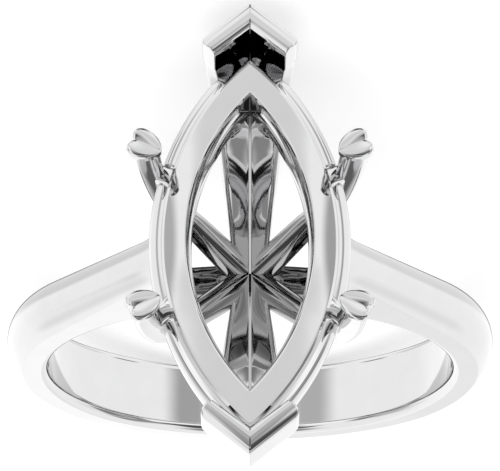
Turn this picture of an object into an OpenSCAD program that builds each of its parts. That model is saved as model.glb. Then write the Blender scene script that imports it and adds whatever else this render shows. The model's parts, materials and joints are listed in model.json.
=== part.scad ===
// Marquise engagement ring: an empty six-prong mounting, modelled as two castings.
// Every shape is drawn upright first: finger axis along Y, head towards +Z, origin in the middle of the finger hole.
// lying() then turns the whole ring onto its back, the way it rests on a table.

/* [Finger hole] */
// Inside diameter of the band
finger_d = 17.3; // [16.5:0.1:18.2]

/* [Band] */
// Full width of the band at its bottom
band_w = 3.14; // [2.8:0.02:3.4]
// Full width of the shoulders where they reach the head
shoulder_w = 1.92; // [1.8:0.02:2.1]
// Wall from the finger hole to the crease where the dome begins
side_h = 1.12; // [1:0.02:1.2]
// Height of the dome as a share of half the width
dome_share = 0.5; // [0.4:0.05:0.6]
// Share of half the width that is rounded off for comfort inside
comfort_share = 0.24; // [0.15:0.01:0.3]
// Angle from the bottom at which each shoulder leaves the circle
shoulder_angle = 123.6; // [122:0.2:125]
// Thickness of the bridge under the head
bridge_t = 0.95; // [0.9:0.05:1.1]
// Full width of that bridge
bridge_w = 1.2; // [1.1:0.05:1.4]

/* [Head] */
// Length of the marquise stone that the head takes
stone_l = 16; // [15.9:0.05:16.1]
// Width of that stone
stone_w = 8; // [7.9:0.05:8.1]
// How far the bearing's top lies inside the stone's edge at the sides
bearing_in_w = 0.6; // [0.55:0.01:0.65]
// How far it lies inside the stone's points
bearing_in_l = 0.525; // [0.5:0.005:0.6]
// Width of the bearing's top face at the sides
bearing_rim = 0.9; // [0.86:0.01:0.94]
// Half length of the opening in the bearing
opening_half_l = 6.1; // [6:0.02:6.2]
// Height of the bearing's top above the finger hole
bearing_rise = 5.73; // [5.7:0.01:5.8]
// Height of the prongs above the bearing's top
prong_rise = 2.12; // [1.9:0.02:2.3]
// Height above the finger hole of the point where the six struts meet
hub_rise = 1.39; // [1.35:0.01:1.45]

/* [Fit] */
// Gap between the two castings
seam = 0.02; // [0.01:0.01:0.04]

/* [Hidden] */
metal = [0.86, 0.86, 0.87];
finger_r = finger_d / 2;
crease_r = finger_r + side_h;
hub_z = finger_r + hub_rise;
bearing_z = finger_r + bearing_rise;
base_z = bearing_z - 1.78;
prong_z = bearing_z + prong_rise;

// Part 1: the band, its shoulders and the bridge under the head
// Below taper_z the band keeps its full width, above it the side faces close in evenly up to shoulder_z
taper_z = -6;
shoulder_z = 11.2;
taper = (band_w - shoulder_w) / 2 / (shoulder_z - taper_z);
function half_w(z) = band_w / 2 - max(0, z - taper_z) * taper;
// Each shoulder grows a little wider in the last stretch before the rail
flare_x = 4.3;
function flare(p) = p[1] > 0 && p[0] < flare_x ? 0.5 * pow(flare_x - p[0], 2) : 0;
// The bridge keeps one width, and its dome is lower than the band's
bridge_crease_r = finger_r + bridge_t - bridge_w / 2 * dome_share;
function polar(r, a) = [r * sin(a), -r * cos(a)];
// A station is [angle inside, crease point, half width at the crease, half width inside]
function band_station(a, inside) =
    let (p = polar(a <= shoulder_angle ? crease_r : crease_r / cos(a - shoulder_angle), a))
    [inside, p, half_w(p[1]) + flare(p), half_w(-finger_r * cos(a))];
function bridge_station(a) = [a, polar(bridge_crease_r, a), bridge_w / 2, bridge_w / 2];
// Columns: angle of the crease, angle inside
shoulder_table = [
    [shoulder_angle, shoulder_angle],
    [130, 130],
    [137, 137],
    [144, 144],
    [151, 151],
    [156, 155.4],
    [159.5, 158],
    [162.2, 159.9],
    [165, 161.4],
];
// The shoulder's inner end, then its fillet to the bridge
// Columns: angle inside, crease x, crease height over the head's base, half width
end_table = [
    [162.1, 3.08, 0.3, 0.93],
    [162.8, 3.02, -1.3, 0.88],
    [163.5, 2.96, -2.3, 0.8],
    [164.4, 2.82, -3.1, 0.68],
    [165.4, 2.5, -3.55, bridge_w / 2],
];
// The shoulder's inner end is no wider than this where it meets the finger hole
end_inside_w = 0.8;
band_step = 7.5;
half_stations = concat(
    [for (a = [band_step / 2:band_step:120]) band_station(a, a)],
    [for (row = shoulder_table) band_station(row[0], row[1])],
    [for (row = end_table) [row[0], [row[1], base_z + row[2]], row[3], min(row[3], end_inside_w)]],
    [for (a = [168, 172, 176]) bridge_station(a)]);
function other_side(st) = [-st[0], [-st[1][0], st[1][1]], st[2], st[3]];
ring_stations = concat([for (i = [len(half_stations) - 1:-1:0]) other_side(half_stations[i])],
    half_stations, [bridge_station(180)]);
dome_steps = 5;
// The loft starts this far inside the finger hole, which is then bored clean
bore_stock = 0.3;
// Points of one side of a section, as [distance out from the finger hole, sideways]
function dome_r(w) = w * (1 + dome_share * dome_share) / (2 * dome_share);
function half_section(st) =
    let (foot = polar(finger_r, st[0]), rise = norm(st[1] - foot), w = st[2], wi = st[3], c = comfort_share * wi,
        h = w * dome_share, rho = dome_r(w), sweep = asin(w / rho))
    concat([[-bore_stock, wi - 1.6 * c]],
        [for (t = [30:30:90]) [c * (1 - cos(t)), wi - c + c * sin(t)]],
        [for (i = [dome_steps:-1:0]) let (t = sweep * i / dome_steps) [rise + h - rho * (1 - cos(t)), rho * sin(t)]]);
function section(st) =
    let (half = half_section(st), n = len(half), foot = polar(finger_r, st[0]),
        dir = (st[1] - foot) / norm(st[1] - foot),
        flat = concat(half, [for (i = [n - 2:-1:0]) [half[i][0], -half[i][1]]]))
    [for (p = flat) [foot[0] + dir[0] * p[0], p[1], foot[1] + dir[1] * p[0]]];

module ring_loft(list) {
    rows = [for (st = list) section(st)];
    m = len(rows);
    n = len(rows[0]);
    pts = [for (row = rows) each row];
    faces = [for (i = [0:m - 1]) for (j = [0:n - 1])
        let (k = (i + 1) % m, l = (j + 1) % n)
        each [[i * n + j, i * n + l, k * n + l], [i * n + j, k * n + l, k * n + j]]];
    polyhedron(pts, faces);
}

module shank() {
    color(metal) lying() difference() {
        ring_loft(ring_stations);
        rotate([90, 0, 0]) cylinder(r = finger_r, h = 10, center = true, $fn = 180);
        head_clearance();
    }
}

// Part 2: the setting, which is the bearing, its rail, two V prongs and four heart prongs
bearing_w = stone_w / 2 - bearing_in_w;
bearing_l = stone_l / 2 - bearing_in_l;
opening_w = bearing_w - bearing_rim;
// Solid through rows of points, each row a closed outline, counter-clockwise as seen from the last row
module loft(rows) {
    m = len(rows);
    n = len(rows[0]);
    sides = [for (i = [0:m - 2]) for (j = [0:n - 1])
        let (k = i * n + j, l = i * n + (j + 1) % n)
        each [[k, k + n, l + n], [k, l + n, l]]];
    polyhedron([for (row = rows) each row],
        concat([[for (j = [0:n - 1]) j]], sides, [[for (j = [n - 1:-1:0]) (m - 1) * n + j]]));
}

// A marquise of half width w and half length l, grown by o on every side, is where two circles meet
lens_steps = 14;
function lens_c(w, l) = (l * l - w * w) / (2 * w);
function marquise(w, l, o, z) =
    let (c = lens_c(w, l), r = c + w + o, end = acos(c / r),
        half = [for (i = [0:lens_steps - 1]) let (t = end * (2 * i / lens_steps - 1)) [r * cos(t) - c, r * sin(t), z]])
    concat(half, [for (p = half) [-p[0], -p[1], z]]);

// Solid through a table of [growth, height] rows
module marquise_stack(w, l, rows) {
    loft([for (row = rows) marquise(w, l, row[0], row[1])]);
}

// Columns of the next tables: growth of the outline, height
core_rows = [
    [0.02, base_z],
    [0.08, base_z + 1.66],
    [-0.02, bearing_z],
];
rail_rows = [
    [0.12, base_z + 0.02],
    [0.36, base_z + 0.18],
    [0.52, base_z + 0.5],
    [0.58, base_z + 0.85],
    [0.56, base_z + 1.15],
    [0.45, base_z + 1.38],
    [0.28, base_z + 1.48],
    [0.04, base_z + 1.46],
    [-0.3, base_z + 1.4],
    [-0.3, base_z + 0.12],
];
opening_rows = [
    [-0.19, base_z - 0.2],
    [-0.18, base_z + 0.95],
    [-0.11, base_z + 1],
    [-0.03, bearing_z - 0.14],
    [0.06, bearing_z + 0.05],
];

// What the shoulders keep clear of: the rail's outside, and everything above the head's base
module head_clearance() {
    low = [for (i = [0:3]) [rail_rows[i][0] + seam, rail_rows[i][1] - seam]];
    marquise_stack(bearing_w, bearing_l, concat(low, [[rail_rows[3][0] + seam, bearing_z + 1]]));
}

// The bridge grown by the seam, and the finger hole: nothing of the setting reaches into them
module bridge_clearance() {
    w = bridge_w / 2;
    rho = dome_r(w) + seam;
    rotate([90, 0, 0]) {
        cylinder(r = finger_r, h = 20, center = true, $fn = 90);
        rotate_extrude($fn = 90) {
            translate([0, -w - seam]) square([bridge_crease_r, 2 * (w + seam)]);
            intersection() {
                translate([0, -w - seam]) square([finger_r + bridge_t + seam, 2 * (w + seam)]);
                translate([finger_r + bridge_t + seam - rho, 0]) circle(rho, $fn = 32);
            }
        }
    }
}

// A claw's path lies in its own upright plane, along the edge that faces the stone: a straight strut, then a bend
// A row is [distance from the middle, height, slope of the path in degrees, [side scale, depth scale] of the section]
function strut_row(slope, dist, size) = [dist, hub_z + dist * tan(slope), slope, size];
function arc_rows(start, r, to, steps, size) = [for (i = [0:steps])
    let (from = start[2], t = from + (to - from) * i / steps)
    [start[0] + r * (sin(t) - sin(from)), start[1] + r * (cos(from) - cos(t)), t,
        start[3] + (size - start[3]) * i / steps]];

// Puts a flat outline across the path: its x stays sideways and its y points away from the stone
function across(row, outline, turn = 0) =
    [for (p = outline) let (x = row[3][0] * (p[0] * cos(turn) - p[1] * sin(turn)),
        y = row[3][1] * (p[0] * sin(turn) + p[1] * cos(turn)))
        [x, row[0] + y * sin(row[2]), row[1] - y * cos(row[2])]];

// V prong: a roof-shaped strut, then two wings round the stone's point
v_slope = 22;
strut_ends = [-0.25, 5];
v_inner = stone_l / 2 + 0.09;
v_bend_r = 1.85;
v_bend = v_inner - v_bend_r * (1 - sin(v_slope));
even = [1, 1];
v_rows = arc_rows(strut_row(v_slope, v_bend, 0.88 * even), v_bend_r, 90, 6, 0.98 * even);
v_edge = prong_z - 0.33;
v_top = [v_inner, v_edge, 90, even];
v_tip = [v_inner, v_edge + 0.25, 90, even];
wing_ridge = 1.11;

// Outlines are given by their right half, from the edge that faces the stone to the one that faces away
function whole(half) = concat(half, [for (i = [len(half) - 1:-1:0]) [-half[i][0], half[i][1]]]);
// The strut's section at a distance from the middle
ridge_flat = 0.06;
function roof(dist) = let (w = 0.64 + 0.115 * dist)
    whole([[ridge_flat, 0], [w, 0.35 + 0.25 * w], [0.9 * w, 0.8 + 0.06 * w], [ridge_flat, 0.95 + 0.06 * w]]);
// The two wings: cut takes the outer edge in for the slope on top
function wings(cut = 0) = whole([[ridge_flat, 0.04], [1.4, -1.05], [2.01, -0.49] - cut * [0.63, 0.78],
    [ridge_flat, wing_ridge - cut * 1.28]]);

module v_prong() {
    loft(concat([for (dist = strut_ends) across(strut_row(v_slope, dist, even), roof(dist))],
        [for (row = concat(v_rows, [v_top])) across(row, wings())], [across(v_tip, wings(0.7))]));
}

// Heart prong: the heart's tip faces the stone, its two lobes face out and turn towards the ring's sides
h_azimuth = 49.7;
h_turn = -15.7;
h_slope = 17.7;
h_edge = prong_z - 0.45;
h_bend = 2.79;
h_bend_size = [0.8, 0.72];
h_low = arc_rows(strut_row(h_slope, h_bend, h_bend_size), 2, 75, 5, [0.62, 0.95]);
h_end = arc_rows(h_low[5], (h_edge - h_low[5][1]) / cos(75), 90, 2, [0.66, 1.05])[2];
h_rows = concat([strut_row(h_slope, 0.1, even)], h_low, [h_end + [0, 0.15, 0, [0, 0]]]);
h_cap = [[h_end[0] - 0.02, h_edge, 92, even], [h_end[0] - 0.02, h_edge + 0.28, 94, even]];
h_tip = [h_end[0], h_edge + 0.4, 94, even];

// Right half of the heart's outline, drawn in by inset: its tip, its side, its round lobe and the notch
lobe_mid = [0.34, 0.8];
lobe_r = 0.36;
function heart(inset = 0) = let (r = lobe_r - inset) whole(concat(
    [[0.05, 0.02 + inset]],
    [for (t = [-45, -20]) [0.19, 0.42] + r * [cos(t), sin(t)]],
    [for (t = [-10:30:110]) lobe_mid + r * [cos(t), sin(t)]],
    [[0.05, 0.95 - 0.8 * inset]]));

// The section turns from the strut's own line to the heart's as it rises
function turn_at(row) = h_turn * max(0, row[2] - h_slope) / (90 - h_slope);
function heart_rows(rows, inset = 0) = [for (row = rows) across(row, heart(inset), turn_at(row))];

module heart_prong() {
    rotate(-h_azimuth) {
        loft(heart_rows(h_rows));
        // The cap is a little wider than the stem, and its top is rounded down to the edges
        loft(concat(heart_rows(h_cap), heart_rows([h_tip], 0.12)));
    }
}

// The rail is six pieces with rounded ends, which stop short of the prongs
// Each piece runs between two angles about the middle of the circle that its side follows
function rail_station(t, size) = let (c = lens_c(bearing_w, bearing_l), r = c + bearing_w)
    [for (i = [len(rail_rows) - 1:-1:0])
        let (row = rail_rows[i], d = r - 0.3 + size * (row[0] + 0.3), mid = base_z + 0.8)
        [d * cos(t) - c, d * sin(t), mid + size * (row[1] - mid)]];
// Columns: degrees past the end, size of the section there
nose = [[1.3, 0.5], [0.8, 0.82], [0, 1]];
module rail_piece(from, to, steps) {
    hull() loft(concat([for (e = nose) rail_station(from - e[0], e[1])],
        [for (i = [1:steps - 1]) rail_station(from + (to - from) * i / steps, 1)],
        [for (i = [2:-1:0]) rail_station(to + nose[i][0], nose[i][1])]));
}

// A short neck joins each heart prong to the bearing
neck_from = 3.55;
neck_to = 4.6;
module neck() {
    rotate(-h_azimuth) hull() {
        translate([-0.31, neck_from, base_z + 0.06]) cube([0.62, 0.2, 1.22]);
        translate([-0.22, neck_to, base_z + 0.15]) cube([0.44, 0.1, 0.95]);
    }
}

module four_ways() {
    for (x = [0, 1]) for (y = [0, 1]) mirror([x, 0, 0]) mirror([0, y, 0]) children();
}

module setting() {
    color(metal) lying() difference() {
        union() {
            difference() {
                union() {
                    hull() marquise_stack(bearing_w, bearing_l, core_rows);
                    for (turn = [0, 180]) rotate(turn) rail_piece(-13, 13, 8);
                    four_ways() rail_piece(21.5, 39.5, 6);
                    four_ways() neck();
                }
                marquise_stack(opening_w, opening_half_l, opening_rows);
            }
            for (turn = [0, 180]) rotate(turn) v_prong();
            four_ways() heart_prong();
        }
        bridge_clearance();
    }
}

// Rest: the back of the ring is down, on the band's bottom edge and on the bend of the back V prong
bend_rows = concat(v_rows, [v_top]);
function ridge_point(row) = [row[0], row[1]] + row[3][1] * wing_ridge * [sin(row[2]), -cos(row[2])];
band_contact = [band_w / 2, -crease_r * cos(band_step / 2)];
lie = max([for (row = bend_rows) let (d = ridge_point(row) - band_contact) atan2(d[0], d[1])]);
function height_lying(p) = [-cos(lie), sin(lie)] * p;
function reach_lying(p) = [sin(lie), cos(lie)] * p;
band_reach = (crease_r + band_w / 2 * dome_share - dome_r(band_w / 2)) * cos(lie) + dome_r(band_w / 2);
head_reach = reach_lying(ridge_point(v_top));

module lying() {
    translate([0, (head_reach - band_reach) / 2, -height_lying(band_contact)])
        rotate([0, 0, 180]) rotate([lie - 90, 0, 0]) children();
}

shank();
setting();
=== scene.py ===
# Empty marquise ring mounting, polished white gold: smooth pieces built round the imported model
import json
import math
import bmesh
import bpy
import numpy as np
from mathutils import Matrix, Vector


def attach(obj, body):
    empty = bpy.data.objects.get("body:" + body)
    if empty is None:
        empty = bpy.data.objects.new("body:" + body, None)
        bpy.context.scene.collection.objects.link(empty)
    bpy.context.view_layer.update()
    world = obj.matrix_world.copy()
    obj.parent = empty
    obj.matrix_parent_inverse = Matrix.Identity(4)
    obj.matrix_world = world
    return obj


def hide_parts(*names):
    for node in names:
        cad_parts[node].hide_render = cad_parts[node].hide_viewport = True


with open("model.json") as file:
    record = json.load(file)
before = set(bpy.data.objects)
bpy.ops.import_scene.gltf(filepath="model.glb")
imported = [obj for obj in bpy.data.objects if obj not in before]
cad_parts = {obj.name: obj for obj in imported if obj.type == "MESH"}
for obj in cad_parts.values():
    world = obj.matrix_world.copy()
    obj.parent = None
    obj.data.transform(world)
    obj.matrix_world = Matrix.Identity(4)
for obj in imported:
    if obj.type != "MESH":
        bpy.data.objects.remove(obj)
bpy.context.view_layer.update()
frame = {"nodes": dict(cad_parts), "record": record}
scene = bpy.context.scene
print("frame loaded:", sorted(frame["nodes"]))

# The ring's own upright frame, in millimetres: X across, Y along the finger, Z towards the head
mounts = {mount["name"]: mount for mount in frame["record"]["mounts"]}
ringMiddle = np.array(mounts["finger_bore"]["pos_m"])
ringY = -np.array(mounts["finger_bore"]["axis"])
ringZ = np.array(mounts["stone_seat"]["axis"])
ringX = np.cross(ringY, ringZ)
millimetre = 0.001
turnToRow = np.column_stack([ringX, ringY, ringZ])
fingerRadius = mounts["finger_bore"]["dims"]["r_mm"]
bearingTop = np.linalg.norm(np.array(mounts["stone_seat"]["pos_m"]) - ringMiddle) / millimetre
stone = {"length": 16.0, "width": 8.0}
# The bearing's thickness, the prongs' height over it, and the struts' hub over the finger hole
head = {"bearingThickness": 1.78, "prongRise": 2.12, "hubRise": 1.39}
headBase = bearingTop - head["bearingThickness"]
prongTop = bearingTop + head["prongRise"]
hubHeight = fingerRadius + head["hubRise"]


def place(points):
    # From the ring's millimetres to the scene's metres
    return np.asarray(points, float) @ turnToRow.T * millimetre + ringMiddle


# Node trees

class Wire:
    # A node's output, to be used in plain sums
    def __init__(self, graph, socket):
        self.graph = graph
        self.socket = socket

    def sum(self, operation, *others):
        return self.graph.node("ShaderNodeMath", {"operation": operation}, dict(enumerate((self,) + others)))

    def __add__(self, other):
        return self.sum("ADD", other)

    __radd__ = __add__

    def __mul__(self, other):
        return self.sum("MULTIPLY", other)

    __rmul__ = __mul__

    def __sub__(self, other):
        return self.sum("SUBTRACT", other)

    def __rsub__(self, other):
        return self.graph.node("ShaderNodeMath", {"operation": "SUBTRACT"}, {0: other, 1: self})

    def __truediv__(self, other):
        return self.sum("DIVIDE", other)

    def __rtruediv__(self, other):
        return self.graph.node("ShaderNodeMath", {"operation": "DIVIDE"}, {0: other, 1: self})

    def __pow__(self, other):
        return self.sum("POWER", other)

    def __mod__(self, other):
        return self.sum("MODULO", other)

    def __lt__(self, other):
        return self.sum("LESS_THAN", other)

    def output(self, name):
        return Wire(self.graph, self.socket.node.outputs[name])


class Graph:
    # A node tree that is filled node by node
    def __init__(self, tree):
        self.tree = tree

    def node(self, kind, settings=None, values=None):
        made = self.tree.nodes.new(kind)
        for name, value in (settings or {}).items():
            setattr(made, name, value)
        for name, value in (values or {}).items():
            if isinstance(value, Wire):
                self.tree.links.new(value.socket, made.inputs[name])
            else:
                made.inputs[name].default_value = value
        return Wire(self, made.outputs[0]) if len(made.outputs) else made


def newTree(name, inputs):
    # A geometry tree with a mesh in, a mesh out and named sizes
    tree = bpy.data.node_groups.new(name, "GeometryNodeTree")
    tree.interface.new_socket("Geometry", in_out="OUTPUT", socket_type="NodeSocketGeometry")
    tree.interface.new_socket("Geometry", in_out="INPUT", socket_type="NodeSocketGeometry")
    for label, kind in inputs.items():
        tree.interface.new_socket(label, in_out="INPUT", socket_type="NodeSocket" + kind)
    graph = Graph(tree)
    entry = graph.node("NodeGroupInput")
    return graph, entry


def weld(graph, mesh):
    # Joins points that lie under half a thousandth of a millimetre apart
    return graph.node("GeometryNodeMergeByDistance", None, {"Geometry": mesh, "Distance": 0.0005})


def fade(graph, value, start, end):
    # Runs smoothly from 0 at the start to 1 at the end
    return graph.node("ShaderNodeMapRange", {"interpolation_type": "SMOOTHSTEP"},
                      {"Value": value, "From Min": start, "From Max": end})


def mixColours(graph, share, first, second):
    # Inputs 6 and 7 of a colour Mix are its colours, and output 2 is the result
    mix = graph.node("ShaderNodeMix", {"data_type": "RGBA"}, {0: share, 6: first, 7: second})
    return Wire(graph, mix.socket.node.outputs[2])


def grey(tone):
    return (tone, tone, tone, 1.0)


def closeTree(graph, mesh, material):
    # The end of every tree: a smooth, real mesh in its metal
    smooth = graph.node("GeometryNodeSetShadeSmooth", None, {"Geometry": mesh})
    real = graph.node("GeometryNodeRealizeInstances", None, {"Geometry": smooth})
    finished = graph.node("GeometryNodeSetMaterial", None, {"Geometry": real, "Material": material})
    graph.node("NodeGroupOutput", None, {0: finished})


def bakeTree(name, graph, start, values):
    # Runs a tree on a mesh in ring millimetres and returns its result as a plain mesh
    maker = bpy.data.objects.new(name, start)
    scene.collection.objects.link(maker)
    modifier = maker.modifiers.new("build", "NODES")
    modifier.node_group = graph.tree
    for item in graph.tree.interface.items_tree:
        if item.item_type == "SOCKET" and item.in_out == "INPUT" and item.name in values:
            modifier[item.identifier] = values[item.name]
    view = bpy.context.evaluated_depsgraph_get()
    mesh = bpy.data.meshes.new_from_object(maker.evaluated_get(view))
    bpy.data.objects.remove(maker)
    mesh.name = name
    turn = Matrix(turnToRow.tolist()).to_4x4() * millimetre
    turn[3][3] = 1.0
    mesh.transform(Matrix.Translation(Vector(ringMiddle)) @ turn)
    return mesh


# Material: rhodium-white gold, polished, with the faint unevenness that hand polishing leaves

goldLook = {
    "tint": (0.65, 0.65, 0.655), "shade": (0.6, 0.6, 0.605), "roughness": 0.045, "roughnessSpread": 0.04,
    "haze": 900.0, "hazeDetail": 4.0, "hazeRoughness": 0.6,
    "wave": 260.0, "waveDetail": 2.0, "waveRoughness": 0.5, "waveHeight": 0.000012,
}
# Painted shade: the metal's colour is darkened where shade falls inside the head. Each place has its centre
# as seen from the head, the distances from it and the heights between which the darker tone fades in, and the
# tone itself
# Painted shade on the heart prongs' struts near the hub, under the stone
strutPaintedShade = {"centre": (0.0, 0.0), "reach": (3.7, 2.6), "height": (8.0, 8.4), "tone": 0.38}
# Painted shade on the band's bridge and the shoulders' inner ends, under the head
bridgePaintedShade = {"centre": (0.0, 0.0), "reach": (4.0, 3.2), "height": (8.0, 8.4), "tone": 0.2}
# Painted shade in the bearing's back point, darker below its top
cornerPaintedShade = {"centre": (0.0, 5.85), "reach": (0.72, 0.45),
                "height": (bearingTop - 0.09, bearingTop - 0.17), "tone": 0.09}


def ringPlace(graph, objectPlace, axis, shift):
    # How far a point of the surface lies along one of the ring's own axes, in millimetres
    along = graph.node("ShaderNodeVectorMath", {"operation": "DOT_PRODUCT"},
                       {0: objectPlace, 1: tuple(axis / millimetre)})
    return along.output("Value") - float(axis @ ringMiddle / millimetre + shift)


def paintedShadeMask(graph, objectPlace, paintedShade):
    # Painted shade mask: 1 near the place's centre and past its second height, fading to 0 at the first
    # distance and first height
    across = ringPlace(graph, objectPlace, ringX, paintedShade["centre"][0])
    along = ringPlace(graph, objectPlace, ringY, paintedShade["centre"][1])
    height = ringPlace(graph, objectPlace, ringZ, 0)
    distance = (across * across + along * along).sum("SQRT")
    return fade(graph, distance, *paintedShade["reach"]) * fade(graph, height, *paintedShade["height"])


def noise(graph, objectPlace, name):
    return graph.node("ShaderNodeTexNoise", None, {
        "Vector": objectPlace, "Scale": goldLook[name],
        "Detail": goldLook[name + "Detail"], "Roughness": goldLook[name + "Roughness"],
    })


def whiteGold(name, paintedShade=None):
    made = bpy.data.materials.new(name)
    made.use_nodes = True
    graph = Graph(made.node_tree)
    objectPlace = graph.node("ShaderNodeTexCoord").output("Object")
    haze = noise(graph, objectPlace, "haze")
    colour = mixColours(graph, haze, (*goldLook["tint"], 1.0), (*goldLook["shade"], 1.0))
    # Painted shade: the colour is mixed towards a dark tone inside the mask
    if paintedShade:
        colour = mixColours(graph, paintedShadeMask(graph, objectPlace, paintedShade), colour, grey(paintedShade["tone"]))
    leastRoughness = goldLook["roughness"] - goldLook["roughnessSpread"] / 2
    wave = noise(graph, objectPlace, "wave")
    looks = {
        "Base Color": colour,
        "Roughness": haze * goldLook["roughnessSpread"] + leastRoughness,
        "Normal": graph.node("ShaderNodeBump", None, {"Height": wave, "Distance": goldLook["waveHeight"]}),
    }
    shader = made.node_tree.nodes["Principled BSDF"]
    for socket, look in looks.items():
        made.node_tree.links.new(look.socket, shader.inputs[socket])
    shader.inputs["Metallic"].default_value = 1.0
    return made


gold = whiteGold("whiteGold")
# The heart prongs' metal, with painted shade near the hub
strutGold = whiteGold("strutGold", strutPaintedShade)
# The band's metal, with painted shade under the head
bridgeGold = whiteGold("bridgeGold", bridgePaintedShade)
# The bearing's metal, with painted shade in its back point
cornerGold = whiteGold("cornerGold", cornerPaintedShade)
print("material made")


# Mesh helpers, all in ring millimetres

def polar(radius, degrees):
    angle = np.radians(degrees)
    return np.array([radius * np.sin(angle), -radius * np.cos(angle)])


# Limits of a corner's curve: half angles in radians of a folded and of a straight corner, share of a side
cornerLimits = {"folded": 0.05, "straight": 1.5, "side": 0.46}
# Points nearer to each other than this, in metres, become one
doubleGap = 0.0000002


def rounded(outline, radii, steps):
    # Replaces each corner of a closed outline by a small curve
    outline = np.asarray(outline, float)
    points = []
    for i, corner in enumerate(outline):
        if not radii[i]:
            points.append(corner)
            continue
        before = outline[i - 1] - corner
        after = outline[(i + 1) % len(outline)] - corner
        lengths = np.linalg.norm(before), np.linalg.norm(after)
        cosine = np.clip(before @ after / (lengths[0] * lengths[1]), -1, 1)
        half = max(math.acos(cosine) / 2, cornerLimits["folded"])
        wanted = radii[i] / math.tan(half) if half < cornerLimits["straight"] else radii[i]
        cut = min(wanted, cornerLimits["side"] * min(lengths))
        start = corner + before / lengths[0] * cut
        end = corner + after / lengths[1] * cut
        for share in np.linspace(0, 1, steps + 1):
            points.append((1 - share) ** 2 * start + 2 * share * (1 - share) * corner + share ** 2 * end)
    return np.array(points)


def whole(half):
    # Both sides of an outline from its right side
    half = np.asarray(half, float)
    return np.concatenate([half, half[::-1] * [-1, 1]])


def loftFaces(count, size, closed):
    # Closed is True for a ring of rows, False for a face at both ends, and "seam" for a face at the first row
    # only, where the last row lies folded along a line
    faces = []
    for row in range(count if closed is True else count - 1):
        here = row * size
        there = (row + 1) % count * size
        for point in range(size):
            after = (point + 1) % size
            faces.append((here + point, here + after, there + after, there + point))
    if closed is not True:
        faces.append(tuple(range(size - 1, -1, -1)))
    if not closed:
        faces.append(tuple(range((count - 1) * size, count * size)))
    return faces


def finishMesh(mesh, sharpAngle):
    # Merges doubles, turns every face outwards and keeps only the edges over an angle in degrees sharp
    edit = bmesh.new()
    edit.from_mesh(mesh)
    bmesh.ops.remove_doubles(edit, verts=edit.verts, dist=doubleGap)
    bmesh.ops.recalc_face_normals(edit, faces=edit.faces)
    edit.to_mesh(mesh)
    edit.free()
    mesh.shade_smooth()
    mesh.set_sharp_from_angle(angle=math.radians(sharpAngle))
    mesh.update()


def addPiece(name, mesh, node):
    piece = bpy.data.objects.new(name, mesh)
    scene.collection.objects.link(piece)
    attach(piece, "root")
    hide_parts(node)


def loftPiece(name, lofts, node, sharpAngle, material=gold):
    # One piece from one or more lofts, each a list of outlines and how its ends close
    vertices = []
    faces = []
    for rows, closed in lofts:
        start = len(vertices)
        vertices.extend(place(np.concatenate(rows)).tolist())
        faces.extend(tuple(start + point for point in face)
                     for face in loftFaces(len(rows), len(rows[0]), closed))
    mesh = bpy.data.meshes.new(name)
    mesh.from_pydata(vertices, [], faces)
    mesh.materials.append(material)
    finishMesh(mesh, sharpAngle)
    addPiece(name, mesh, node)


# Band: a domed section that follows the finger hole, its shoulders and the bridge under the head. Angles are
# in degrees from the bottom. The width tapers with the height and flares beside the head. Past lagFrom the
# hole's side lags behind the outside. Dome, side and rounded edge end at their share of the columns

band = {
    "width": 3.14, "shoulderWidth": 1.92, "sideHeight": 1.12, "domeShare": 0.5, "comfortShare": 0.24,
    "shoulderAngle": 123.6, "taperFrom": -6.0, "taperTo": 11.2, "flareFrom": 4.3, "flare": 0.5,
    "lagFrom": 151.0, "lag": 0.0185, "lastAngle": 165.0, "endInsideWidth": 0.8,
    "bridgeThickness": 0.95, "bridgeWidth": 1.2, "bridgeAngles": (168, 172, 176, 180),
    "step": 1.5, "endSteps": 5, "columns": 112, "sharpAngle": 60,
    "domeColumns": 0.4, "sideColumns": 0.68, "comfortColumns": 0.86,
}
# Shoulder's inner end: angle inside, crease x, crease height over the head's base, half width
shoulderEnd = [
    (162.1, 3.08, 0.3, 0.93),
    (162.8, 3.02, -1.3, 0.88),
    (163.5, 2.96, -2.3, 0.8),
    (164.4, 2.82, -3.1, 0.68),
    (165.4, 2.5, -3.55, 0.6),
]


def halfWidth(height):
    narrowing = (band["width"] - band["shoulderWidth"]) / 2 / (band["taperTo"] - band["taperFrom"])
    return band["width"] / 2 - max(0, height - band["taperFrom"]) * narrowing


def bandStation(angle):
    # Angle inside, crease x and z, half width at the crease, half width inside
    creaseRadius = fingerRadius + band["sideHeight"]
    past = max(0, angle - band["shoulderAngle"])
    x, z = polar(creaseRadius / math.cos(math.radians(past)), angle)
    inside = angle - band["lag"] * max(0, angle - band["lagFrom"]) ** 2
    grow = band["flare"] * (band["flareFrom"] - x) ** 2 if z > 0 and x < band["flareFrom"] else 0
    return inside, x, z, halfWidth(z) + grow, halfWidth(-fingerRadius * math.cos(math.radians(angle)))


def bridgeStation(angle):
    half = band["bridgeWidth"] / 2
    x, z = polar(fingerRadius + band["bridgeThickness"] - half * band["domeShare"], angle)
    return angle, x, z, half, half


def smoothThrough(keys, steps):
    # Catmull-Rom curve through rows of numbers, without its last row
    keys = np.asarray(keys, float)
    ends = np.concatenate([[2 * keys[0] - keys[1]], keys, [2 * keys[-1] - keys[-2]]])
    made = []
    for i in range(1, len(ends) - 2):
        a, b, c, d = ends[i - 1:i + 3]
        for t in np.arange(steps) / steps:
            made.append(0.5 * (2 * b + (c - a) * t + (2 * a - 5 * b + 4 * c - d) * t ** 2
                               + (3 * b - a - 3 * c + d) * t ** 3))
    return made


def bandStations():
    rows = [bandStation(a) for a in np.arange(0, band["lastAngle"] - band["step"] / 2, band["step"])]
    ends = [(a, x, headBase + z, w, min(w, band["endInsideWidth"])) for a, x, z, w in shoulderEnd]
    keys = [bandStation(band["lastAngle"])] + ends + [bridgeStation(a) for a in band["bridgeAngles"]]
    rows += smoothThrough(keys, band["endSteps"])
    other = [(-a, -x, z, w, inside) for a, x, z, w, inside in rows[:0:-1]]
    return rows + [bridgeStation(band["bridgeAngles"][-1])] + other


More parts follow.
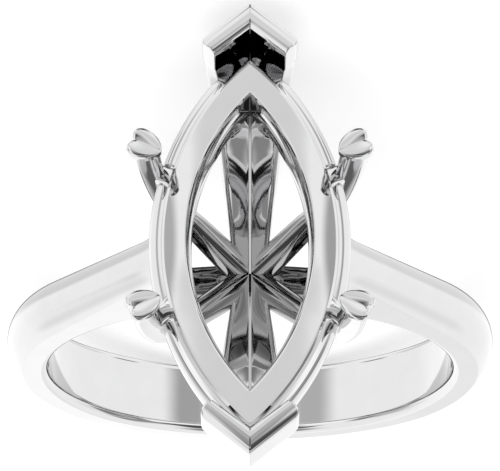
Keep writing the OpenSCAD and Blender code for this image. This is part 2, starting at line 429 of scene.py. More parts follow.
def bandTree():
    graph, entry = newTree("band", {
        "Stations": "Int", "Columns": "Int", "Dome Share": "Float", "Comfort Share": "Float",
    })
    columns = entry.output("Columns")
    dome = entry.output("Dome Share")
    grid = graph.node("GeometryNodeMeshGrid", None,
                      {"Vertices X": entry.output("Stations") + 1, "Vertices Y": columns})
    index = graph.node("GeometryNodeInputIndex")
    row = (index / columns).sum("FLOOR")
    # Minus 1 to 1 from the finger hole over one side, the dome and the other side back to the hole
    turn = (index - row * columns) / (columns - 1) * 2 - 1
    side = turn.sum("SIGN")
    around = turn.sum("ABSOLUTE")
    station = row % entry.output("Stations")

    def sample(kind, value):
        return graph.node("GeometryNodeSampleIndex", {"data_type": kind},
                          {"Geometry": entry, "Value": value, "Index": station})

    def named(kind, name):
        return graph.node("GeometryNodeInputNamedAttribute", {"data_type": kind}, {"Name": name})

    foot = sample("FLOAT_VECTOR", graph.node("GeometryNodeInputPosition"))
    outward = sample("FLOAT_VECTOR", named("FLOAT_VECTOR", "outward"))
    rise = sample("FLOAT", named("FLOAT", "rise"))
    half = sample("FLOAT", named("FLOAT", "halfWidth"))
    inside = sample("FLOAT", named("FLOAT", "insideWidth"))
    comfort = inside * entry.output("Comfort Share")
    # The dome is part of a circle over the crease, then come the flat side, the rounded edge and the hole.
    # Out is the distance from the finger hole, wide the distance from the band's middle
    domeEnd, sideEnd, edgeEnd = band["domeColumns"], band["sideColumns"], band["comfortColumns"]
    domeRadius = half * (dome * dome + 1) / (dome * 2)
    sweep = (dome * 2 / (dome * dome + 1)).sum("ARCSINE")
    onDome = around / domeEnd * sweep
    onSide = (around - domeEnd) / (sideEnd - domeEnd)
    onEdge = (1 - (around - sideEnd) / (edgeEnd - sideEnd)) * (math.pi / 2)
    onHole = (around - edgeEnd) / (1 - edgeEnd)
    stretches = [
        (edgeEnd, comfort * (1 - onEdge.sum("COSINE")), inside - comfort + comfort * onEdge.sum("SINE")),
        (sideEnd, rise + (comfort - rise) * onSide, half + (inside - half) * onSide),
        (domeEnd, rise + half * dome - domeRadius * (1 - onDome.sum("COSINE")),
         domeRadius * onDome.sum("SINE")),
    ]
    out, wide = 0.0, (inside - comfort) * (1 - onHole)
    for limit, outHere, wideHere in stretches:
        here = around < limit
        out = graph.node("GeometryNodeSwitch", {"input_type": "FLOAT"}, {0: here, 1: out, 2: outHere})
        wide = graph.node("GeometryNodeSwitch", {"input_type": "FLOAT"}, {0: here, 1: wide, 2: wideHere})
    lift = graph.node("ShaderNodeVectorMath", {"operation": "SCALE"}, {0: outward, "Scale": out})
    shift = graph.node("ShaderNodeCombineXYZ", None, {"Y": side * wide})
    lifted = graph.node("ShaderNodeVectorMath", {"operation": "ADD"}, {0: foot, 1: lift})
    point = graph.node("ShaderNodeVectorMath", {"operation": "ADD"}, {0: lifted, 1: shift})
    moved = graph.node("GeometryNodeSetPosition", None, {"Geometry": grid, "Position": point})
    # The band carries painted shade on its bridge under the head
    closeTree(graph, weld(graph, moved), bridgeGold)
    return graph


def makeBand():
    rows = np.array(bandStations())
    feet = np.array([polar(fingerRadius, angle) for angle in rows[:, 0]])
    reach = rows[:, 1:3] - feet
    rise = np.linalg.norm(reach, axis=1)
    outward = reach / rise[:, None]
    zero = np.zeros(len(rows))
    start = bpy.data.meshes.new("stations")
    start.from_pydata(np.column_stack([feet[:, 0], zero, feet[:, 1]]).tolist(), [], [])
    vectors = np.column_stack([outward[:, 0], zero, outward[:, 1]])
    start.attributes.new("outward", "FLOAT_VECTOR", "POINT").data.foreach_set("vector", vectors.ravel())
    for name, values in (("rise", rise), ("halfWidth", rows[:, 3]), ("insideWidth", rows[:, 4])):
        start.attributes.new(name, "FLOAT", "POINT").data.foreach_set("value", values)
    mesh = bakeTree("band", bandTree(), start, {
        "Stations": len(rows), "Columns": band["columns"] + 1,
        "Dome Share": band["domeShare"], "Comfort Share": band["comfortShare"],
    })
    finishMesh(mesh, band["sharpAngle"])
    addPiece("band", mesh, "shank")


makeBand()
print("band made")


# Bearing: the pointed ring that carries the stone, with a leaning top, a bevelled opening and a web in its
# back point. Corners higher than leanOver follow the lean, and topEdges says how far the top's outlines grow

bearing = {
    "insideStoneWidth": 0.6, "insideStoneLength": 0.525, "rim": 0.9, "openingHalfLength": 6.1,
    "lean": (0.05, 0.12, 0.08), "leanFade": 6, "leanOver": 1.6, "topEdges": (-0.02, 0.04), "topColumns": 9,
    "webAt": 5.5, "rows": 120, "cornerSteps": 3, "sharpAngle": 28,
}
bearingHalfWidth = stone["width"] / 2 - bearing["insideStoneWidth"]
bearingHalfLength = stone["length"] / 2 - bearing["insideStoneLength"]
# A side of a marquise is part of a circle: its centre's distance from the middle, and its radius
outerCentre = (bearingHalfLength ** 2 - bearingHalfWidth ** 2) / (2 * bearingHalfWidth)
outerRadius = outerCentre + bearingHalfWidth
openingHalfWidth = bearingHalfWidth - bearing["rim"]
innerCentre = (bearing["openingHalfLength"] ** 2 - openingHalfWidth ** 2) / (2 * openingHalfWidth)
innerRadius = innerCentre + openingHalfWidth
# Corners of the section: which side, growth of its outline, height over the head's base, edge radius. A web
# corner lies on the inner side, but no further back than webAt. A top corner has its share of the way inwards
bearingSection = [
    ("outer", 0.02, 0.0, 0.05),
    ("outer", 0.08, 1.66, 0.03),
    ("outer", bearing["topEdges"][0], head["bearingThickness"], 0.03),
    *[("top", share, head["bearingThickness"], 0.0)
      for share in np.linspace(0, 1, bearing["topColumns"] + 2)[1:-1]],
    ("inner", bearing["topEdges"][1], head["bearingThickness"], 0.02),
    ("inner", -0.03, 1.64, 0.02),
    ("web", -0.04, 1.47, 0.02),
    ("web", -0.05, 1.3, 0.02),
    ("inner", -0.06, 1.22, 0.02),
    ("inner", -0.11, 1.0, 0.02),
    ("inner", -0.18, 0.95, 0.02),
    ("inner", -0.19, 0.0, 0.05),
]


def sidePoint(centre, radius, growth, share):
    # Share runs from -1 at the front point to 1 at the back point
    grown = radius + growth
    angle = math.acos(centre / grown) * share
    return np.array([grown * math.cos(angle) - centre, grown * math.sin(angle)])


def topLean(share, outward):
    # The top leans outwards at the sides of the ring and lies flat at its two points
    lift, curve, slope = bearing["lean"]
    strength = math.cos(math.pi / 2 * share) ** bearing["leanFade"]
    return strength * (lift - curve * outward ** 2 - slope * outward)


def bearingCorner(side, growth, share, turn):
    # Where a corner of the section lies, and how far towards the outside of the top
    if side == "outer":
        return *sidePoint(outerCentre, outerRadius, growth, share), 1
    if side == "top":
        edges = (sidePoint(outerCentre, outerRadius, bearing["topEdges"][0], share),
                 sidePoint(innerCentre, innerRadius, bearing["topEdges"][1], share))
        return *(edges[0] + (edges[1] - edges[0]) * growth), 1 - growth
    x, y = sidePoint(innerCentre, innerRadius, growth, share)
    if side == "web":
        y = turn * min(turn * y, bearing["webAt"])
    return x, y, 0


def bearingRow(share, turn):
    corners = []
    for side, growth, height, _ in bearingSection:
        x, y, outward = bearingCorner(side, growth, share, turn)
        lean = topLean(share, outward) if height > bearing["leanOver"] else 0
        corners.append((turn * x, turn * y, headBase + (height + lean)))
    return rounded(corners, [corner[-1] for corner in bearingSection], bearing["cornerSteps"])


def makeBearing():
    shares = np.linspace(-1, 1, bearing["rows"] + 1)[:-1]
    rows = [bearingRow(share, turn) for turn in (1, -1) for share in shares]
    # The bearing carries painted shade in its back point
    loftPiece("bearing", [(rows, True)], "setting", bearing["sharpAngle"], cornerGold)


makeBearing()
print("bearing made")


# Rail: three rounded ribs along each side of the bearing, with a round nose at both ends. All noses but the
# last at the back lie inside a prong or a neck. A run is two angles about the centre of the bearing's side

rail = {
    "growth": 0.08, "height": 0.78, "halfThickness": 0.5, "halfHeight": 0.72, "squareness": 2.5,
    "root": -0.3, "nose": 1.5, "rows": 72, "columns": 48, "sharpAngle": 60,
    "runs": ((-47.0, -18.5), (-14.5, 14.5), (18.5, 41.0)),
}


def railTree():
    sizes = ("From", "To", "Nose", "Centre", "Radius", "Base", "Growth", "Height", "Half Thickness",
             "Half Height", "Squareness", "Root")
    graph, entry = newTree("rail", {
        "Rows": "Int", "Columns": "Int", **{name: "Float" for name in sizes},
    })
    value = {name: entry.output(name) for name in sizes}
    rows, columns = entry.output("Rows"), entry.output("Columns")
    grid = graph.node("GeometryNodeMeshGrid", None, {"Vertices X": rows, "Vertices Y": columns})
    index = graph.node("GeometryNodeInputIndex")
    row = (index / columns).sum("FLOOR")
    share = row / (rows - 1)
    around = (index - row * columns) / (columns - 1) * (2 * math.pi)
    # Stations crowd towards the ends, where the nose is
    middle = (value["From"] + value["To"]) / 2
    reach = (value["To"] - value["From"]) / 2
    offset = (share * math.pi).sum("COSINE") * (reach + value["Nose"]) * -1
    past = ((offset.sum("ABSOLUTE") - reach) / value["Nose"]).sum("MAXIMUM", 0.0)
    size = (1 - past * past).sum("MAXIMUM", 0.0).sum("SQRT")
    angle = (middle + offset) * (math.pi / 180)

    def squared(wave):
        return wave.sum("SIGN") * wave.sum("ABSOLUTE") ** (2 / value["Squareness"])

    growth = value["Growth"] + value["Half Thickness"] * squared(around.sum("COSINE"))
    depth = growth.sum("MAXIMUM", value["Root"]) - value["Root"]
    distance = value["Radius"] + value["Root"] + size * depth
    height = value["Base"] + value["Height"] + size * value["Half Height"] * squared(around.sum("SINE"))
    point = graph.node("ShaderNodeCombineXYZ", None, {
        "X": distance * angle.sum("COSINE") - value["Centre"], "Y": distance * angle.sum("SINE"), "Z": height,
    })
    rib = graph.node("GeometryNodeSetPosition", None, {"Geometry": grid, "Position": point})
    # The other side of the head has the same rib, mirrored
    pair = graph.node("GeometryNodeMeshLine", None, {"Count": 2, "Offset": (0, 0, 0)})
    mirror = 1 - graph.node("GeometryNodeInputIndex") * 2
    flip = graph.node("ShaderNodeCombineXYZ", None, {"X": mirror, "Y": 1.0, "Z": 1.0})
    both = graph.node("GeometryNodeInstanceOnPoints", None,
                      {"Points": pair, "Instance": weld(graph, rib), "Scale": flip})
    closeTree(graph, both, gold)
    return graph


def makeRail():
    graph = railTree()
    for number, (start, end) in enumerate(rail["runs"], 1):
        empty = bpy.data.meshes.new("rib")
        mesh = bakeTree(f"rail{number}", graph, empty, {
            "Rows": rail["rows"], "Columns": rail["columns"], "From": start, "To": end, "Nose": rail["nose"],
            "Centre": outerCentre, "Radius": outerRadius, "Base": headBase, "Growth": rail["growth"],
            "Height": rail["height"], "Half Thickness": rail["halfThickness"],
            "Half Height": rail["halfHeight"], "Squareness": rail["squareness"], "Root": rail["root"],
        })
        finishMesh(mesh, rail["sharpAngle"])
        addPiece(f"rail{number}", mesh, "setting")


makeRail()
print("rail made")


# Prongs: each follows a path in its own upright plane, along the edge that faces the stone
# A path row is (distance from the middle, height, slope in degrees)

def strutRow(slope, distance):
    return np.array([distance, hubHeight + distance * math.tan(math.radians(slope)), slope])


def arcRows(start, radius, toSlope, steps):
    fromSlope = math.radians(start[2])
    rows = []
    for share in np.linspace(0, 1, steps + 1):
        slope = start[2] + (toSlope - start[2]) * share
        angle = math.radians(slope)
        rows.append(np.array([
            start[0] + radius * (math.sin(angle) - math.sin(fromSlope)),
            start[1] + radius * (math.cos(fromSlope) - math.cos(angle)), slope,
        ]))
    return rows


def across(row, outline):
    # Outline x is sideways, its y points away from the stone
    slope = math.radians(row[2])
    outline = np.asarray(outline)
    return np.column_stack([outline[:, 0], row[0] + outline[:, 1] * math.sin(slope),
                            row[1] - outline[:, 1] * math.cos(slope)])


def spin(degrees, size):
    # Turns points of two or three numbers, one to a row, about the upright axis
    angle = math.radians(degrees)
    made = np.eye(size)
    made[:2, :2] = [[math.cos(angle), -math.sin(angle)], [math.sin(angle), math.cos(angle)]]
    return made.T


def turned(rows, degrees):
    return [row @ spin(degrees, 3) for row in rows]


def mixed(a, b, share):
    return np.asarray(a, float) * (1 - share) + np.asarray(b, float) * share


# V prong: a roof-shaped strut, then two wings round the stone's point. Its outlines are right halves, drawn
# from the ridge that faces the stone over the lip to the back. The strut's width grows with the distance, its
# lip and back with the width. A wing's ridge and back have a place and how far a cut of the top moves them

vProng = {
    "slope": 22.0, "strutStart": -0.25, "strutEnd": 5.0, "ridgeFlat": 0.06, "sag": 0.03, "flare": 0.035,
    "strutWidth": (0.64, 0.115), "lip": (0.33, 0.25), "edgeFoot": (-0.15, -0.01), "edgeTop": (-0.1, -0.08),
    "back": (0.85, 0.95, 0.06),
    "clearance": 0.09, "bend": 1.85, "bendSize": 0.88,
    "mitreFlat": 0.025, "wingRidge": (0.04, 1.2), "wingTip": (1.4, -1.05), "wingLip": 0.9,
    "wingOuter": (2.0, -0.51), "wingBack": (1.08, 1.28), "wingCut": (0.63, 0.78),
    "topDrop": 0.33, "shoulder": 0.23, "pillowTilt": 30.0, "stemTop": 0.1,
    "strutRows": 12, "blendRows": 9, "bendSteps": 24, "pillowRows": 7, "flankColumns": 7, "cornerSteps": 4,
    "sharpAngle": 28,
}
# Each prong: turn about the ring's upright axis, radius of its pillowed top, and how much of that lies inside
vPlaces = {"Back": (0, 0.5, 1.0), "Front": (180, 0.95, 0.3)}
# Edge radii of an outline: the ridge, the raised edge's two corners, the lip, the outer corner and the back
vEdges = {
    "strut": (0.012, 0.012, 0.02, 0.05, 0.12, 0.1),
    "wing": (0.03, 0.012, 0.02, 0.08, 0.3, 0.14),
    "top": (0.03, 0.012, 0.02, 0.02, 0.06, 0.02),
}


def flank(ridge, lip, sag):
    # Points between the ridge and the lip on a shallow hollow curve
    sideways = np.array([ridge[1] - lip[1], lip[0] - ridge[0]]) / np.linalg.norm(lip - ridge)
    return [ridge + (lip - ridge) * share + sideways * sag * 4 * share * (1 - share)
            for share in np.linspace(0, 1, vProng["flankColumns"] + 2)[1:-1]]


def vRadii(name):
    ridge, *others = vEdges[name]
    return np.array([ridge] + [0.0] * vProng["flankColumns"] + others)


def roofOutline(distance):
    # The strut's section, with a hollow in each upper side and a raised edge beside the lip
    width = vProng["strutWidth"][0] + vProng["strutWidth"][1] * distance
    flat = vProng["ridgeFlat"]
    ridge = np.array([flat, 0.0])
    lip = np.array([width, vProng["lip"][0] + vProng["lip"][1] * width])
    foot = lip + vProng["edgeFoot"]
    outerBack, innerBack, backSlope = vProng["back"]
    return [ridge, *flank(ridge, foot, vProng["sag"]), foot, lip + vProng["edgeTop"], lip,
            (width + vProng["flare"] * max(0, distance), outerBack + backSlope * width),
            (flat, innerBack + backSlope * width)]


def wingOutline(cut=0.0, inner=0.0):
    # The wings' section, with its back cut away and its inner side set outwards by so much
    wingCut = np.array(vProng["wingCut"])
    flat = vProng["mitreFlat"]
    ridge = np.array([flat, vProng["wingRidge"][0] + vProng["wingRidge"][1] * inner])
    tip = np.array(vProng["wingTip"]) + inner * wingCut
    near = ridge + (tip - ridge) * vProng["wingLip"]
    return [ridge, *flank(ridge, near, 0.0), near, (near + tip) / 2, tip,
            np.array(vProng["wingOuter"]) - cut * wingCut,
            np.array([flat, vProng["wingBack"][0] - cut * vProng["wingBack"][1]])]


def vSection(half, size, radii):
    return rounded(whole(half) * size, list(radii) + list(radii)[::-1], vProng["cornerSteps"])


def vStrutRows(bendAt):
    rows = []
    for distance in np.linspace(vProng["strutStart"], vProng["strutEnd"], vProng["strutRows"]):
        section = vSection(roofOutline(distance), 1, vRadii("strut"))
        rows.append(across(strutRow(vProng["slope"], distance), section))
    # The roof turns into the wings on the way to the bend
    for share in np.linspace(0, 1, vProng["blendRows"])[1:-1]:
        ease = share * share * (3 - 2 * share)
        distance = vProng["strutEnd"] + (bendAt - vProng["strutEnd"]) * share
        half = mixed(roofOutline(distance), np.array(wingOutline()) * vProng["bendSize"], ease)
        section = vSection(half, 1, mixed(vRadii("strut"), vRadii("wing"), ease))
        rows.append(across(strutRow(vProng["slope"], distance), section))
    return rows


def pillowTop(inner, edge, pillow, innerShare):
    # The top is a pillow between two narrow round shoulders
    rows = []
    tilt = math.radians(vProng["pillowTilt"])
    count = vProng["pillowRows"]
    for angle in np.concatenate([np.linspace(math.pi / 2, tilt, count), np.linspace(tilt, 0, count)[1:]]):
        cut = vProng["shoulder"] * (1 - math.sin(max(angle, tilt)))
        rise = vProng["shoulder"] * math.cos(max(angle, tilt))
        if angle < tilt:
            cut += pillow * (math.sin(tilt) - math.sin(angle))
            rise += pillow * (math.cos(angle) - math.cos(tilt))
        half = wingOutline(cut, innerShare * cut)
        radii = mixed(vRadii("wing"), vRadii("top"), min(1, cut / vProng["shoulder"]))
        rows.append(across([inner, edge + rise, 90], vSection(half, 1, radii)))
    return rows


def vProngRows(pillow, innerShare):
    inner = stone["length"] / 2 + vProng["clearance"]
    edge = prongTop - vProng["topDrop"]
    bendAt = inner - vProng["bend"] * (1 - math.sin(math.radians(vProng["slope"])))
    bend = arcRows(strutRow(vProng["slope"], bendAt), vProng["bend"], 90, vProng["bendSteps"])
    rows = vStrutRows(bendAt)
    for i, row in enumerate(bend):
        size = vProng["bendSize"] + (1 - vProng["bendSize"]) * i / (len(bend) - 1)
        rows.append(across(row, vSection(wingOutline(), size, vRadii("wing"))))
    for height in (bend[-1][1] + vProng["stemTop"], edge - vProng["stemTop"]):
        rows.append(across([inner, height, 90], vSection(wingOutline(), 1, vRadii("wing"))))
    return rows + pillowTop(inner, edge, pillow, innerShare)


def makeVProngs():
    for name, (turn, pillow, innerShare) in vPlaces.items():
        rows = turned(vProngRows(pillow, innerShare), turn)
        loftPiece(f"vProng{name}", [(rows, False)], "setting", vProng["sharpAngle"])


makeVProngs()
print("V prongs made")


# Heart prong: the heart's tip faces the stone, its two lobes face out and turn towards the ring's sides

heartProng = {
    "azimuth": 49.7, "turn": -15.7, "slope": 17.7, "stemStart": 0.1, "bendAt": 2.79, "bendRadius": 2.0,
    "bendSlope": 75, "topDrop": 0.45, "stemTop": 0.1,
    "stemSizes": ((1.0, 0.9), (0.83, 0.65), (0.72, 0.83), (0.76, 0.89)),
    "capSlope": 92.0, "capShift": -0.02, "tipShift": -0.06, "wall": 0.17, "rim": 0.32, "rimRise": 0.2,
    "crease": 0.07, "tipCrease": 0.015, "creaseStart": 0.03, "creaseReach": 0.9, "notch": 1.14,
    "neckRadii": (0.1, 0.1, 0.32, 0.32), "neckSteps": 8,
    "outlineSteps": 4, "stemRows": 6, "bendSteps": 16, "rimRows": 9, "creaseRows": 8, "sharpAngle": 32,
}
# Half of the heart from its tip to the notch between the lobes
heartHalf = [
    (0.01, 0.0), (0.18, 0.08), (0.36, 0.22), (0.51, 0.44), (0.61, 0.72), (0.62, 0.99), (0.54, 1.21),
    (0.37, 1.33), (0.17, 1.3), (0.01, 1.16),
]
# The cap's underside round the stem: height over the cap's edge, size of the heart
capFoot = [(-0.1, 0.72), (-0.06, 0.9), (-0.02, 0.98)]
# A neck joins each heart prong to the bearing: distance, both sides, bottom and top over the head's base
neckSections = [(3.5, -0.62, 0.52, 0.06, 1.62), (4.1, -0.56, 0.48, 0.1, 1.56), (4.4, -0.5, 0.44, 0.12, 1.4),
                (4.8, -0.38, 0.34, 0.15, 1.12)]


def roundedHalf():
    return np.array(smoothThrough(heartHalf, heartProng["outlineSteps"]) + [np.array(heartHalf[-1])])


def heartOutline(size=(1, 1), turn=0.0):
    return whole(roundedHalf()) @ spin(turn, 2) * size


def heartPath(edge):
    # A low bend at the end of the straight stem, then a wide one up to the cap's edge
    low = arcRows(strutRow(heartProng["slope"], heartProng["bendAt"]), heartProng["bendRadius"],
                  heartProng["bendSlope"], heartProng["bendSteps"])
    radius = (edge - low[-1][1]) / math.cos(math.radians(heartProng["bendSlope"]))
    return low, arcRows(low[-1], radius, 90, heartProng["bendSteps"] // 2)


def stemRows(low, high):
    sizes = heartProng["stemSizes"]

    def turnAt(row):
        return heartProng["turn"] * max(0, row[2] - heartProng["slope"]) / (90 - heartProng["slope"])

    rows = []
    for share in np.linspace(0, 1, heartProng["stemRows"])[:-1]:
        distance = heartProng["stemStart"] + (heartProng["bendAt"] - heartProng["stemStart"]) * share
        outline = heartOutline(mixed(sizes[0], sizes[1], share))
        rows.append(across(strutRow(heartProng["slope"], distance), outline))
    for path, ends in ((low[:-1], sizes[1:3]), (high, sizes[2:])):
        for i, row in enumerate(path):
            size = mixed(*ends, i / (len(path) - 1))
            rows.append(across(row, heartOutline(size, turnAt(row))))
    last = high[-1] + np.array([0, heartProng["stemTop"], 0])
    rows.append(across(last, heartOutline(sizes[-1], turnAt(last))))
    return rows


def capRow(base, share, inwards):
    # One ring of the cap: share runs from 0 at its edge to 1 on its rim, inwards goes on to 1 at the crease
    half = roundedHalf()
    along = np.clip(half[:, 1] * heartProng["creaseReach"], heartProng["creaseStart"], heartProng["notch"])
    half = half + (np.column_stack([along * 0, along]) - half) * inwards
    # The crease is deepest at the notch and fades towards the tip
    deeper = heartProng["crease"] - heartProng["tipCrease"]
    depth = heartProng["tipCrease"] + deeper * (along / heartProng["notch"]) ** 2
    rise = heartProng["rimRise"] * math.sin(share * math.pi / 2)
    drop = depth * max(0, inwards - heartProng["rim"]) ** 2 / (1 - heartProng["rim"]) ** 2
    height = heartProng["wall"] + rise - np.concatenate([drop, drop[::-1]])
    outline = (whole(half) + [0, heartProng["tipShift"]]) @ spin(heartProng["turn"], 2)
    slope = math.radians(heartProng["capSlope"])
    return across(base, outline) + height[:, None] * np.array([0, math.cos(slope), math.sin(slope)])


def capRows(stemEnd, edge):
    base = [stemEnd[0] + heartProng["capShift"], edge, heartProng["capSlope"]]
    shift = [0, heartProng["tipShift"]]
    outline = heartOutline((1, 1), heartProng["turn"])
    middle = outline.mean(axis=0)
    rows = [across([base[0], edge + height, base[2]], middle + (outline - middle) * size + shift)
            for height, size in capFoot]
    rows.append(across(base, outline + shift))
    rows.append(capRow(base, 0.0, 0.0))
    for share in np.linspace(0, 1, heartProng["rimRows"])[1:]:
        rows.append(capRow(base, share, heartProng["rim"] * (1 - math.cos(share * math.pi / 2))))
    for inwards in np.linspace(heartProng["rim"], 1, heartProng["creaseRows"])[1:]:
        rows.append(capRow(base, 1.0, inwards))
    return rows


def neckRows():
    rows = []
    for distance, left, right, bottom, top in neckSections:
        corners = [(left, bottom), (right, bottom), (right, top), (left, top)]
        flat = rounded(corners, heartProng["neckRadii"], heartProng["neckSteps"])
        rows.append(np.column_stack([flat[:, 0], np.full(len(flat), distance), headBase + flat[:, 1]]))
    return rows


def makeHeartProngs():
    edge = prongTop - heartProng["topDrop"]
    low, high = heartPath(edge)
    lofts = [(stemRows(low, high), False), (capRows(high[-1], edge), "seam"), (neckRows(), False)]
    lofts = [(turned(rows, -heartProng["azimuth"]), closed) for rows, closed in lofts]
    for sideName, flipX in {"Right": 1, "Left": -1}.items():
        for endName, flipY in {"Back": 1, "Front": -1}.items():
            here = [([row * [flipX, flipY, 1] for row in rows], closed) for rows, closed in lofts]
            # The heart prongs carry painted shade near the hub
            loftPiece(f"heartProng{endName}{sideName}", here, "setting", heartProng["sharpAngle"], strutGold)


makeHeartProngs()
print("heart prongs made")


# Camera: the photo's view of the ring. Its place is in the ring's own upright frame

cameraLook = {
    "place": (0.0, -42.324, 141.152), "elevation": 71.471, "focalPixels": 3420.0, "imageWidth": 500.0,
    "sensor": 36.0, "clip": (0.005, 20.0),
}


def makeCamera():
    data = bpy.data.cameras.new("camera")
    data.sensor_width = cameraLook["sensor"]
    data.lens = cameraLook["focalPixels"] * cameraLook["sensor"] / cameraLook["imageWidth"]
    data.clip_start, data.clip_end = cameraLook["clip"]
    made = bpy.data.objects.new("camera", data)
    scene.collection.objects.link(made)
    tilt = math.radians(cameraLook["elevation"])
    forward = turnToRow @ np.array([0, math.cos(tilt), -math.sin(tilt)])
    up = turnToRow @ np.array([0, math.sin(tilt), math.cos(tilt)])
    right = np.cross(forward, up)
    turn = Matrix(np.column_stack([right, up, -forward]).tolist()).to_4x4()
    made.matrix_world = Matrix.Translation(Vector(place([cameraLook["place"]])[0])) @ turn
    scene.camera = made


makeCamera()
print("camera made")


# Studio: a pale floor, a lamp and a bright tent. The metal mirrors the cards below, all else sees plain white

studio = {
    "floorSize": 6.0, "floorDrop": 0.00002, "floorTone": 0.55, "floorRoughness": 0.9, "floorSpecular": 0.1,
    "floorGlow": 0.5, "tentTone": 0.91, "mirrorLight": 1.6, "backdrop": 1.0,
    "lampPower": 1.2, "lampSize": 0.5, "lampPlace": (0.1, -0.15, 0.6),
}


def makeFloor():
    half = studio["floorSize"] / 2
    mesh = bpy.data.meshes.new("floor")
    corners = [(-half, -half, 0), (half, -half, 0), (half, half, 0), (-half, half, 0)]
    mesh.from_pydata(corners, [], [(0, 1, 2, 3)])
    floor = bpy.data.objects.new("floor", mesh)
    scene.collection.objects.link(floor)
    floor.location.z = -studio["floorDrop"]
    material = bpy.data.materials.new("floorCard")
    material.use_nodes = True
    shader = material.node_tree.nodes["Principled BSDF"]
    shader.inputs["Base Color"].default_value = grey(studio["floorTone"])
    shader.inputs["Roughness"].default_value = studio["floorRoughness"]
    shader.inputs["Specular IOR Level"].default_value = studio["floorSpecular"]
    shader.inputs["Emission Color"].default_value = grey(1.0)
    shader.inputs["Emission Strength"].default_value = studio["floorGlow"]
    mesh.materials.append(material)
    floor.visible_glossy = False


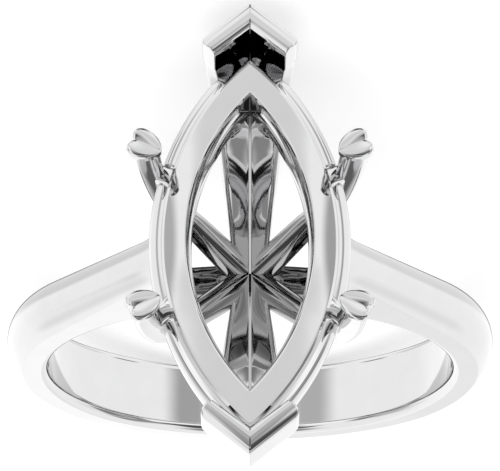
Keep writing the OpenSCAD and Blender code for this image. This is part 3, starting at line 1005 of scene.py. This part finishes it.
# What the metal mirrors, each card over the ones before it. Angles are in degrees: azimuth from the front,
# elevation and the softness of the edges. The tone is as it would look in a picture. A card with a twin is
# there a second time, on the other side of the ring
cards = [
    {"azimuth": (118, 200), "elevation": (-35, 30), "soft": 25, "tone": 0.94},
    {"azimuth": (-200, -162), "elevation": (-30, 20), "soft": 20, "tone": 0.87},
    {"azimuth": (100, 158), "elevation": (-54, -38), "soft": 9, "tone": 0.79},
    {"azimuth": (-158, -100), "elevation": (-54, -38), "soft": 9, "tone": 0.82},
    {"azimuth": (-4, 4), "elevation": (-30, 4), "soft": 7, "tone": 0.81},
    {"azimuth": (-27, 27), "elevation": (2, 7), "soft": 4, "tone": 0.79},
    {"azimuth": (15, 26), "elevation": (7, 13), "soft": 4, "tone": 0.98, "twin": True},
    {"azimuth": (24, 36), "elevation": (9, 18), "soft": 5, "tone": 0.98, "twin": True},
    {"azimuth": (8, 22), "elevation": (14, 24), "soft": 5, "tone": 0.68},
    {"azimuth": (-22, -8), "elevation": (14, 24), "soft": 5, "tone": 0.66},
    {"azimuth": (32, 62), "elevation": (15, 27), "soft": 6, "tone": 0.96, "twin": True},
    {"azimuth": (-12, 12), "elevation": (9, 22), "soft": 6, "tone": 0.68},
    {"azimuth": (24, 45), "elevation": (-28, 8), "soft": 13, "tone": 0.67},
    {"azimuth": (-45, -24), "elevation": (-28, 8), "soft": 13, "tone": 0.62},
    {"azimuth": (-116, -55), "elevation": (31, 46), "soft": 12, "tone": 0.52},
    {"azimuth": (98, 126), "elevation": (6, 28), "soft": 14, "tone": 0.86, "twin": True},
    {"azimuth": (72, 97), "elevation": (6, 28), "soft": 12, "tone": 0.66, "twin": True},
    {"azimuth": (68, 82), "elevation": (12, 32), "soft": 8, "tone": 0.5, "twin": True},
    {"azimuth": (-107, -88), "elevation": (4, 30), "soft": 9, "tone": 0.5},
    {"azimuth": (86, 107), "elevation": (-2, 22), "soft": 12, "tone": 0.7},
    {"azimuth": (-190, 190), "elevation": (66, 91), "soft": 14, "tone": 0.5},
    {"azimuth": (-190, 190), "elevation": (79, 91), "soft": 8, "tone": 0.2},
    {"azimuth": (-62, 36), "elevation": (30, 62), "soft": 12, "tone": 0.28},
    {"azimuth": (30, 58), "elevation": (43, 62), "soft": 12, "tone": 0.28},
    {"azimuth": (-26, 28), "elevation": (22, 35), "soft": 8, "tone": 0.56},
    {"azimuth": (-9, 9), "elevation": (15, 45), "soft": 8, "tone": 0.3},
    {"azimuth": (-6, 6), "elevation": (40, 48), "soft": 5, "tone": 0.8},
    {"azimuth": (-32, 32), "elevation": (-70, -41), "soft": 10, "tone": 0.1},
    {"azimuth": (-5, 5), "elevation": (-50, -38), "soft": 5, "tone": 0.75},
    {"azimuth": (-84, -68), "elevation": (-42, -32), "soft": 6, "tone": 0.4, "twin": True},
    {"azimuth": (160, 200), "elevation": (-58, -34), "soft": 10, "tone": 0.42, "twin": True},
    {"azimuth": (-190, 190), "elevation": (-91, -72), "soft": 10, "tone": 0.35},
]


def linear(tone):
    # Light level of a picture tone
    return ((tone + 0.055) / 1.055) ** 2.4


def between(graph, angle, limits, soft):
    # 1 inside the limits, 0 outside, with soft edges
    low, high = limits
    return (fade(graph, angle, low - soft / 2, low + soft / 2)
            * fade(graph, angle, high + soft / 2, high - soft / 2))


def makeWorld():
    world = bpy.data.worlds.new("tent")
    scene.world = world
    world.use_nodes = True
    world.node_tree.nodes.clear()
    graph = Graph(world.node_tree)
    direction = graph.node("ShaderNodeTexCoord").output("Generated")
    parts = graph.node("ShaderNodeSeparateXYZ", None, {0: direction})
    degree = 180 / math.pi
    azimuth = parts.output("X").sum("ARCTAN2", parts.output("Y") * -1) * degree
    elevation = parts.output("Z").sum("ARCSINE") * degree
    level = linear(studio["tentTone"])
    for card in cards:
        low, high = card["azimuth"]
        sides = [(low, high), (-high, -low)] if "twin" in card else [(low, high)]
        for limits in sides:
            mask = between(graph, azimuth, limits, card["soft"])
            mask = mask * between(graph, elevation, card["elevation"], card["soft"])
            level = mask * (linear(card["tone"]) - level) + level
    mirrored = graph.node("ShaderNodeLightPath").output("Is Glossy Ray")
    level = mirrored * (level * studio["mirrorLight"] - studio["backdrop"]) + studio["backdrop"]
    light = graph.node("ShaderNodeBackground", None, {"Color": level, "Strength": 1.0})
    graph.node("ShaderNodeOutputWorld", None, {"Surface": light})


def makeLamp():
    data = bpy.data.lights.new("softbox", "AREA")
    data.size = studio["lampSize"]
    data.energy = studio["lampPower"]
    lamp = bpy.data.objects.new("softbox", data)
    scene.collection.objects.link(lamp)
    lamp.location = studio["lampPlace"]
    lamp.rotation_mode = "QUATERNION"
    lamp.rotation_quaternion = Vector(lamp.location).to_track_quat("Z", "Y")
    lamp.visible_glossy = False


makeFloor()
makeWorld()
makeLamp()
scene.view_settings.view_transform = "Standard"
print("studio made")
